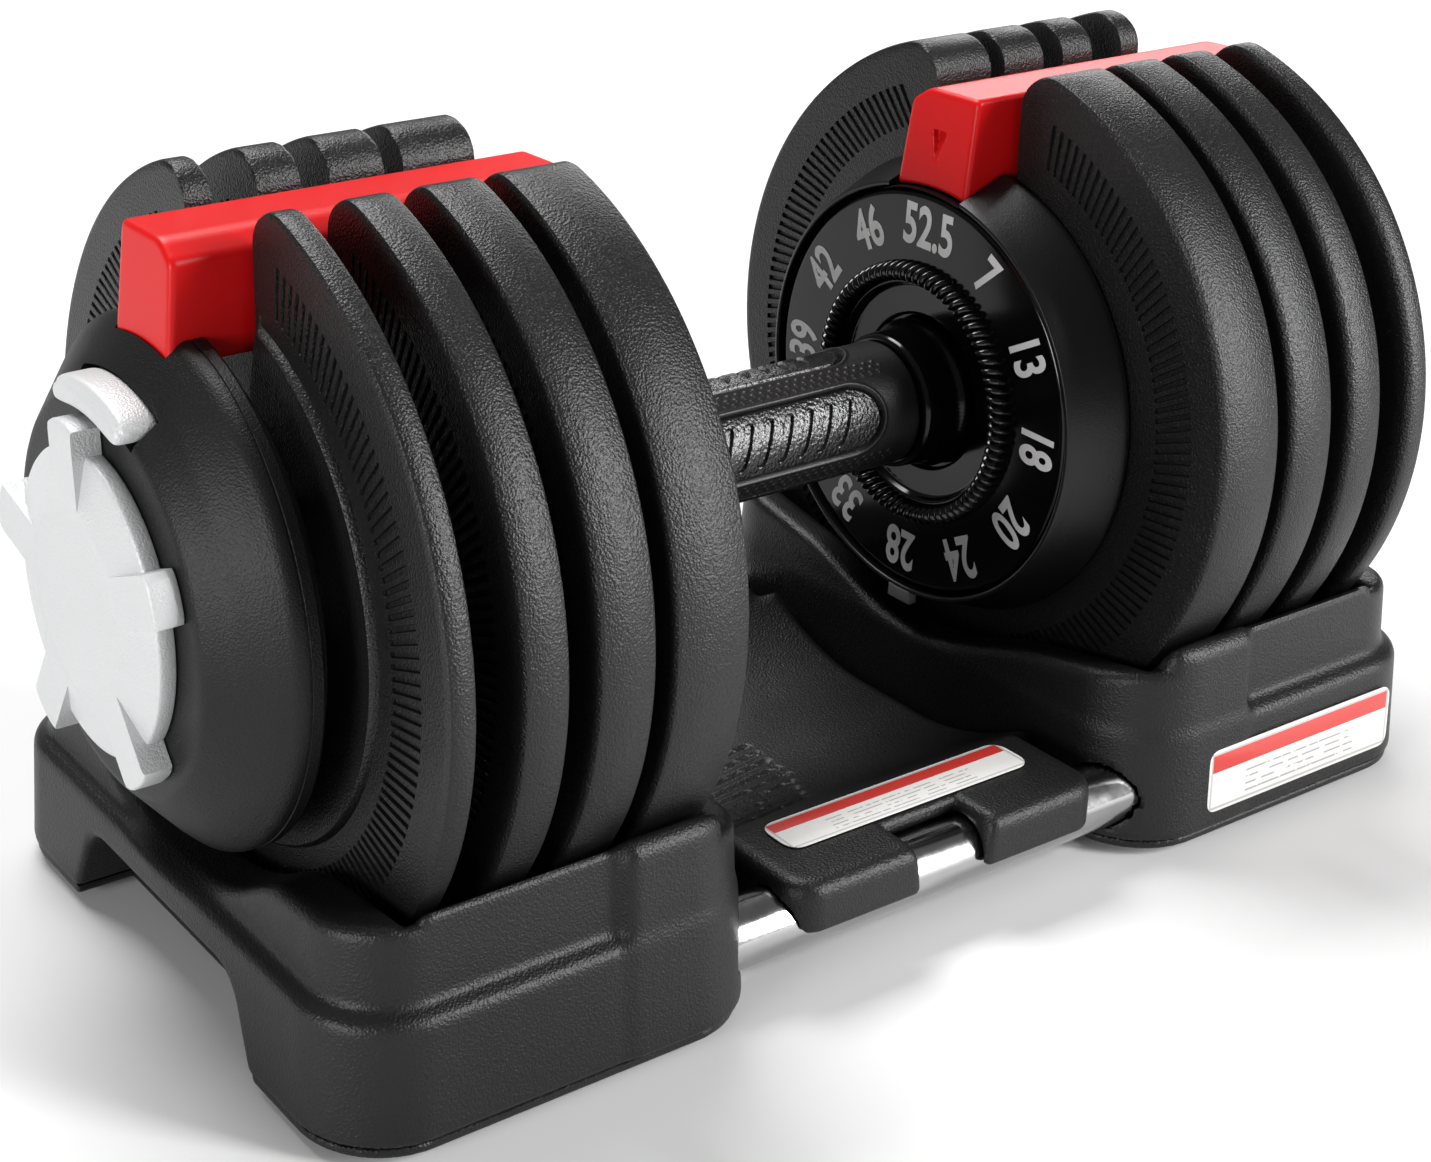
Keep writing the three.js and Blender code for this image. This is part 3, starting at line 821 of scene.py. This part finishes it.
def build_numbers(face):
    """The dial numbers, tops outwards, each turned to its own station on the dial."""
    spots, faces, first = [], [], 0
    for i, text in enumerate(NUMBERS):
        flat, triangles = lettered(text, NUMBER_HIGH)
        a = NUMBER_TURN - TURN * i / len(NUMBERS)
        for x, flip in ((face - 0.12, False), (face + 0.2, True)):
            y = -flat[:, 0] * math.cos(a) + (NUMBER_R + flat[:, 1]) * math.sin(a)
            z = flat[:, 0] * math.sin(a) + (NUMBER_R + flat[:, 1]) * math.cos(a)
            spots.append(np.stack([np.full_like(y, x), y, z + AXIS_Z], -1))
            faces.append((triangles[:, ::-1] if flip else triangles) + first)
            first += len(flat)
    whole = np.concatenate(spots), np.concatenate(faces)
    both_ends("dial_numbers", [whole], INK, "rotor", "label_print")


def build_dial():
    """The numbered disc, its ribbed ring and the dished hub inside the ring."""
    x0, x1, r = round_span("dial_right")
    dish = [[x0 + 2, 23.1], [x0 + 2, 31.2], [x0 + 0.2, 32.4], [x0, 33.5], [x0, r - 1.2], [x0 + 0.9, r],
            [x1, r], [x1, 8.4], [x1 - 1.4, 8.4], [x1 - 1.4, 23.1]]
    both_ends("number_disc", [turned(dish, 0.7, 256)], GLOSS, "rotor", "gloss_black", "dial_{side}")
    build_numbers(x0)
    x0, x1, outer = round_span("knurl_ring_right")
    inner = outer - 6
    ribs = 84
    a = np.linspace(0, TURN, ribs * 10, endpoint=False)[:, None]
    q = np.linspace(-0.12, 1.12, 26)[None] * math.pi
    lean = 0.5
    wave = np.abs(np.sin(ribs / 2 * a + lean * (q - math.pi / 2) * 1.6)) ** 0.7
    mid, half, tall = (inner + outer) / 2, (outer - inner) / 2, x1 - x0
    swell = 1 - 0.42 * (1 - wave)
    radial = mid - half * np.cos(q) * swell
    x = x1 - tall * np.maximum(np.sin(q), -0.2) * swell
    ring = around(x, radial, a)
    back = around(np.full((1, 1), x1 - 0.1), mid + 0 * a, a)
    points = np.concatenate([ring, back], 1)
    both_ends("ribbed_ring", [sheet(points)], RIBS, "rotor", "ring_plastic", "knurl_ring_{side}", smooth=60)


def build_collar():
    """The glossy sleeve between the grip and the dial, flaring a little at its outer end."""
    x0, x1, flange = round_span("collar_right")
    r = flange - 2.5
    profile = [[x0, 8.4], [x0, r - 1.4], [x0 + 1.0, r - 0.5], [x1 - 4.0, r], [x1, flange], [x1, 8.4]]
    both_ends("grip_collar", [turned(profile, 1.9, 128)], GLOSS, "rotor", "gloss_black", "collar_{side}")


PANEL_LONG = 68.0
PANEL_WIDE = 20.5
PANEL_TURN = math.radians(15)
PANEL_NODES = [
    ["grip_panel_1", "grip_panel_2"], ["grip_panel_3"], ["grip_panel_4", "grip_panel_5"], ["grip_panel_6"]]
SLOT_PITCH = 6.9


def stadium(x, across, long, wide):
    """Distance to a stadium lying along x, negative inside."""
    beyond = np.maximum(np.abs(x) - (long - wide) / 2, 0)
    return np.sqrt(beyond**2 + across**2) - wide / 2


def smooth_step(v):
    """0 below 0, 1 above 1, and a smooth cubic between."""
    t = np.clip(v, 0, 1)
    return t * t * (3 - 2 * t)


def build_grip():
    """The rubber sleeve: a height on a grid of x and angle. Stadium pockets sink where the inserts
    lie, each with a raised bead round it, and three rows of small domes run between them."""
    low, high = span("grip")
    half, r = high[0], (high[1] - low[1]) / 2
    x = np.linspace(-half, half, 290)[None]
    a = np.linspace(0, TURN, 336, endpoint=False)[:, None]
    sector = TURN / len(PANEL_NODES)
    local = (a - PANEL_TURN + sector / 2) % sector - sector / 2
    d = stadium(x, local * r, PANEL_LONG, PANEL_WIDE)
    radial = r - 0.35 - 1.7 * smooth_step(0.5 - d / 0.5)
    radial = radial + 0.3 * np.exp(-((d - 0.9) / 0.5) ** 2)
    between = (a - PANEL_TURN) % sector - sector / 2
    for row in (-1, 0, 1):
        shift = x + 1.5 * row
        dx = (shift + 1.5) % 3.0 - 1.5
        spot = np.hypot(dx, (between * r) - row * 1.75)
        radial = radial + 0.35 * smooth_step(1 - spot / 0.85) * (np.abs(x) < 40) * (np.abs(between * r) < 3)
    end = np.clip((half - np.abs(x)) / 1.6, 0, 1)
    radial = np.minimum(radial - 1.6 * (1 - np.sqrt(1 - (1 - end) ** 2)), r)
    core = 14.3
    inside = np.full_like(a, core)
    points = np.concatenate(
        [around(-half, inside, a), around(x, radial, a), around(half, inside, a)], 1)
    piece("grip_sleeve", [sheet(points)], GRIP, "rotor", "grip_rubber", "grip", smooth=60)
    for i, nodes in enumerate(PANEL_NODES):
        build_panel(i, nodes, r)


def build_panel(i, nodes, r):
    """One grained insert: a stadium on a grid of x and width, with slanted slots pressed into it."""
    long, wide = PANEL_LONG - 0.9, PANEL_WIDE - 0.9
    t = np.linspace(-1, 1, 300)
    x = np.sign(t) * (1 - (1 - np.abs(t)) ** 1.25) * long / 2
    beyond = np.maximum(np.abs(x) - (long - wide) / 2, 0)
    reach = np.sqrt(np.maximum((wide / 2) ** 2 - beyond**2, 0))
    v = np.linspace(-1, 1, 56)
    across = reach[:, None] * v[None]
    px = x[:, None] + 0 * across
    slant = px - across * 0.38
    cell = (slant + SLOT_PITCH / 2) % SLOT_PITCH - SLOT_PITCH / 2
    slot = stadium(across * 1.07, cell, 14.0, 2.7)
    keep = np.abs(slant) < long / 2 - 8.5
    top = r - 0.6 - 0.9 * smooth_step(0.5 - slot / 0.45) * keep
    top = top - 0.7 * smooth_step(1 - (wide / 2 - np.hypot(beyond[:, None], across)) / 0.8)
    angle = PANEL_TURN + TURN * i / len(PANEL_NODES) + across / r
    upper = around(px, top, angle)
    lower = around(px[:, ::-1], r - 2.0 + 0 * top, angle[:, ::-1])
    points = np.concatenate([upper, lower], 1)
    piece(f"grip_insert_{i + 1}", [sheet(points, False, True)], PANEL, "rotor", "gloss_black", *nodes)


# ---------------------------------------------------------------- tray

WELL_R = 101.5
SCOOP_R = 75.0
LEDGE_Z = 37.5
RAISED_X = 108.0
LEDGE_IN = 4.2
CORNER = 24.0
DRAFT = 0.045
DIVIDERS = [102.2, 124.6, 146.6]
TUBE_R = 9.0
TUBE_Y = 80.0
TUBE_Z = 17.0
ARCH = {"half": 51.0, "lean": 0.42, "high": 27.0, "round": 9.0}


def wall_top(y, low_z, high_z, edge):
    """Height of an end wall: a round scoop under the axis, then a shoulder that rises to its edge."""
    side = math.sqrt(SCOOP_R**2 - (AXIS_Z - low_z) ** 2)
    scoop = AXIS_Z - np.sqrt(np.maximum(SCOOP_R**2 - y * y, 0))
    line = low_z + (np.abs(y) - side) * (high_z - low_z) / (edge + 5 - side)
    return soft_min(scoop, line, 6.0)


def arch_field(y, z, rise):
    """The finger arch under a cradle's outer end: two sides that lean in with the rise, and a top."""
    sides = np.abs(y) - ARCH["half"] + rise * ARCH["lean"]
    return soft_max(sides, z - ARCH["high"], ARCH["round"])


def cradle_field(x, y, z, low, high):
    """One moulded cradle: a drafted rounded box with a ledge along each long side, a round well for
    the plates, scooped end walls, thin dividers, a finger arch and two sockets for the tubes."""
    half = (high[1] - low[1]) / 2
    middle = ((low[0] + high[0]) / 2, 0.0)
    size = ((high[0] - low[0]) / 2 - DRAFT * (z - low[2]), half - DRAFT * (z - low[2]))
    shell = rounded_box(x, y, middle, size, CORNER)
    upper = soft_max(shell + LEDGE_IN, z - high[2], 4.0)
    lower = soft_max(shell, z - LEDGE_Z, 4.0)
    raised = soft_max(soft_max(shell, z - high[2], 5.0), x - RAISED_X, 5.0)
    body = soft_min(soft_min(lower, raised, 2.5), upper, 3.0)
    radial = np.sqrt(y * y + (z - AXIS_Z) ** 2)
    in_wall, out_wall = low[0] + 13.6, high[0] - 22.4
    pit = np.maximum(radial - WELL_R, np.maximum(in_wall - x, x - out_wall))
    inner_cut = np.maximum(wall_top(y, 46.0, 58.0, half) - z, x - in_wall - 1)
    outer_cut = np.maximum(wall_top(y, 55.0, 60.0, half) - z, out_wall - 1 - x)
    body = soft_max(body, -pit, 3.0)
    body = soft_max(body, -inner_cut, 4.0)
    body = soft_max(body, -outer_cut, 4.0)
    for spot in DIVIDERS:
        rib = np.maximum(np.abs(x - spot) - 1.3, 89.0 - radial)
        rib = np.maximum(rib, np.maximum(radial - WELL_R - 2, (z - AXIS_Z) + 0.72 * radial))
        body = soft_min(body, rib, 1.5)
    arch = arch_field(y, z, np.maximum(z, 0))
    body = soft_max(body, -np.maximum(arch, out_wall + 5 - x), 2.0)
    for side in (-TUBE_Y, TUBE_Y):
        socket = np.sqrt((y - side) ** 2 + (z - TUBE_Z) ** 2) - TUBE_R - 0.5
        body = np.maximum(body, -np.maximum(socket, x - 96.5))
    return soft_max(body, low[2] - z, 1.5)


def build_cradles():
    """The two moulded halves of the tray that the plates sit in."""
    sheets = [moulded(cradle_field, "cradle_right", 2.2, 1.1)]
    both_ends("tray_cradle", sheets, TRAY, "tray", "tray_plastic", "cradle_{side}", smooth=50)


def slab(low, high, corner, edge):
    """A rounded plate: its outline carried over the bottom, a rounded edge and the top."""
    middle, half = (low + high) / 2, (high - low) / 2
    box = np.array([[half[0], half[1]], [-half[0], half[1]], [-half[0], -half[1]], [half[0], -half[1]]])
    rim = eased(box, corner * 1.25, True, 12)
    rows = [(0.0, low[2], 0), (1.0, low[2], edge), (1.0, low[2] + edge, 0), (1.0, high[2] - edge, 0),
            (1.0, high[2] - edge * 0.3, edge * 0.3), (1.0, high[2], edge), (0.0, high[2], 0)]
    points = []
    for share, z, inset in rows:
        scale = share * (1 - inset / np.maximum(np.abs(rim).max(0), 1))
        flat = middle[:2] + rim * scale
        points.append(np.column_stack([flat, np.full(len(flat), z)]))
    return sheet(np.stack(points, 1), True, False)


def base_field(x, y, z, low, high):
    """The cover under a cradle: a thin rounded plate with the finger arch left open."""
    middle = ((low[0] + high[0]) / 2, 0.0)
    shell = rounded_box(x, y, middle, ((high[0] - low[0]) / 2, (high[1] - low[1]) / 2), CORNER - 0.8)
    body = soft_max(soft_max(shell, z - high[2], 0.8), low[2] - z, 1.2)
    arch = arch_field(y, z, z)
    return soft_max(body, -np.maximum(arch, high[0] - 16.2 - x), 0.8)


def build_bases():
    """The covers under the cradles, and the four feet."""
    sheets = [moulded(base_field, "base_right", 1.6, 0.9)]
    both_ends("base_cover", sheets, TRAY, "tray", "tray_plastic", "base_{side}", smooth=50)
    for side in ENDS:
        for place in ("front", "back"):
            node = f"foot_{side}_{place}"
            low_f, high_f = span(node)
            piece(f"pad_{side}_{place}", [slab(low_f, high_f, 6.0, 0.5)], FOOT, "tray", "foot_rubber", node)


def tray_field(x, y, z, low, high):
    """The middle plate: a dished floor that rises to two raised lips over the tubes, with a finger
    notch in the front lip and a fan of shallow grooves in the floor."""
    side = np.abs(y)
    rise = np.clip((side - 12) / 48.0, 0, 1)
    top = 15 + (high[2] - 15) * rise**1.95
    grooves = 0 * (x + y)
    for i in range(9):
        run = x + 30.0 - 1.5 * i
        line = y + 47.0 - 5.2 * i - 0.16 * run
        long = 26.0 - 1.2 * abs(i - 4)
        grooves = grooves + smooth_step(1.2 - stadium(run, line, 2 * long, 1.8) / 0.5)
    top = top - 0.8 * np.minimum(grooves, 1)
    front = (high[1] - low[1]) / 2
    lips = rounded_box(x, y, (0.0, 0.0), (53.0, front), 9.0)
    waist = np.maximum(np.abs(x) - high[0], side - 57.0)
    plan = soft_min(lips, waist, 3.0)
    body = soft_max(z - top, plan, 5.0)
    under = 10 + np.clip((side - 66) / 4.4, 0, 1) * 7
    body = soft_max(body, under - z, 1.5)
    for spot in (-TUBE_Y, TUBE_Y):
        body = np.maximum(body, TUBE_R + 0.4 - np.sqrt((y - spot) ** 2 + (z - TUBE_Z) ** 2))
    notch = np.maximum(np.abs(x) - 12.0 - (z - 25) * 0.15, y + 77.0)
    return soft_max(body, -notch, 3.0)


def build_tray_plate():
    """The dished plate between the cradles."""
    sheets = [moulded(tray_field, "tray_plate", 1.8, 0.9)]
    piece("tray_middle", sheets, TRAY, "tray", "tray_plastic", "tray_plate", smooth=50)


def build_tubes():
    """The two plain tubes that join the cradles."""
    for place in ("front", "back"):
        low, high = span(f"tube_{place}")
        y, z, r = (low[1] + high[1]) / 2, (low[2] + high[2]) / 2, (high[1] - low[1]) / 2
        profile = [[low[0], r - 1.5], [low[0], r], [high[0], r], [high[0], r - 1.5]]
        points, faces = turned(profile, 0.3, 96)
        points = points + np.array([0, y, z - AXIS_Z])
        piece(f"chrome_tube_{place}", [(points, faces)], CHROME, "tray", "tube_chrome", f"tube_{place}")


LABEL_SHIFT = 5.0


def build_labels():
    """Two rounded stickers, one flat on the tray's front lip and one leaning with the cradle's side."""
    low, high = span("label_tray")
    middle = (low + high) / 2
    finish = printed("label_tray_print", middle[:2], (high - low)[:2], 1)
    piece("tray_sticker", [slab(low, high, 4.0, 0.12)], finish, "tray", "label_print", "label_tray")
    low, high = span("label_cradle")
    shift = np.array([LABEL_SHIFT, 0, 0])
    low, high = low - shift, high - shift
    middle = (low + high) / 2
    long, tall = high[0] - low[0], high[2] - low[2]
    flat_low = np.array([low[0], -tall / 2, 0.0])
    flat_high = np.array([high[0], tall / 2, 0.4])
    spots, faces = slab(flat_low, flat_high, 3.0, 0.12)
    y = low[1] + (spots[:, 1] + tall / 2) * DRAFT + 0.4 - spots[:, 2]
    stood = np.column_stack([spots[:, 0], y, middle[2] + spots[:, 1]])
    finish = printed("label_cradle_print", (middle[0], middle[2]), (long, tall), 2)
    piece("cradle_sticker", [(stood, faces)], finish, "tray", "label_print", "label_cradle")


build_plates()
build_shroud()
build_hub()
build_cap()
build_latch()
build_bar()
build_knob()
build_dial()
build_collar()
build_grip()
build_cradles()
build_bases()
build_tray_plate()
build_tubes()
build_labels()

# CAD nodes that keep their own shape and only take a finish.
KEPT = {"shaft": STEEL, "grip_core": STEEL}
for kept_side in ENDS:
    KEPT[f"bushing_{kept_side}"] = STEEL
    for letter in "abcd":
        KEPT[f"selector_{letter}_{kept_side}"] = STEEL
for node_name, node_finish in KEPT.items():
    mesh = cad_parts[node_name].data
    mesh.materials.clear()
    mesh.materials.append(node_finish)

# ---------------------------------------------------------------- stage, lights and camera


def area_light(name, spot, aim, wide, high, power):
    """A soft rectangular light at a spot in metres, turned towards its aim."""
    data = bpy.data.lights.new(name, "AREA")
    data.shape = "RECTANGLE"
    data.size, data.size_y = wide, high
    data.energy = power
    lamp = bpy.data.objects.new(name, data)
    lamp.location = spot
    lamp.rotation_mode = "QUATERNION"
    lamp.rotation_quaternion = (Vector(aim) - Vector(spot)).to_track_quat("-Z", "Y")
    bpy.context.scene.collection.objects.link(lamp)


def build_stage():
    """A plain pale floor, a pale sky and four soft boxes."""
    mesh = bpy.data.meshes.new("floor")
    reach = 12.0
    sides = [(-1, -1), (1, -1), (1, 1), (-1, 1)]
    corners = [(reach * east, reach * north, -0.0004) for east, north in sides]
    mesh.from_pydata(corners, [], [(0, 1, 2, 3)])
    floor = bpy.data.objects.new("floor", mesh)
    bpy.context.scene.collection.objects.link(floor)
    paper = Finish("floor_paper", Specular_IOR_Level=0.2)
    cloud = paper.noise(900, 1.0)
    pale = paper.blend(cloud, grey(0.64), grey(0.67))
    mesh.materials.append(paper.set(Base_Color=pale, Roughness=0.8 + cloud * 0.05))
    world = bpy.data.worlds.new("studio")
    world.use_nodes = True
    world.node_tree.nodes["Background"].inputs[0].default_value = (1, 1, 1, 1)
    world.node_tree.nodes["Background"].inputs[1].default_value = 0.16
    bpy.context.scene.world = world
    aim = (0, 0, 0.1)
    area_light("soft_left", (-2.0, -0.5, 0.5), aim, 0.9, 0.6, 30)
    area_light("soft_right", (1.15, -1.7, 0.85), aim, 0.45, 1.5, 76)
    area_light("soft_top", (0.0, 1.1, 2.2), aim, 1.6, 1.0, 74)
    area_light("soft_back", (1.5, 1.2, 0.9), aim, 0.9, 0.5, 9)


def build_camera():
    """The camera: lens and shift frame the whole object from its left front corner."""
    forward = Vector((0.5115, 0.7827, -0.3548)).normalized()
    data = bpy.data.cameras.new("camera")
    data.sensor_width = 36.0
    data.lens = 62.6
    data.shift_x = 0.153
    data.shift_y = -0.121
    data.clip_start, data.clip_end = 0.05, 60.0
    camera = bpy.data.objects.new("camera", data)
    camera.location = (-0.40864, -0.49835, 0.36306)
    camera.rotation_mode = "QUATERNION"
    camera.rotation_quaternion = forward.to_track_quat("-Z", "Y")
    bpy.context.scene.collection.objects.link(camera)
    bpy.context.scene.camera = camera


build_stage()
build_camera()
bpy.context.scene.view_settings.view_transform = "Standard"
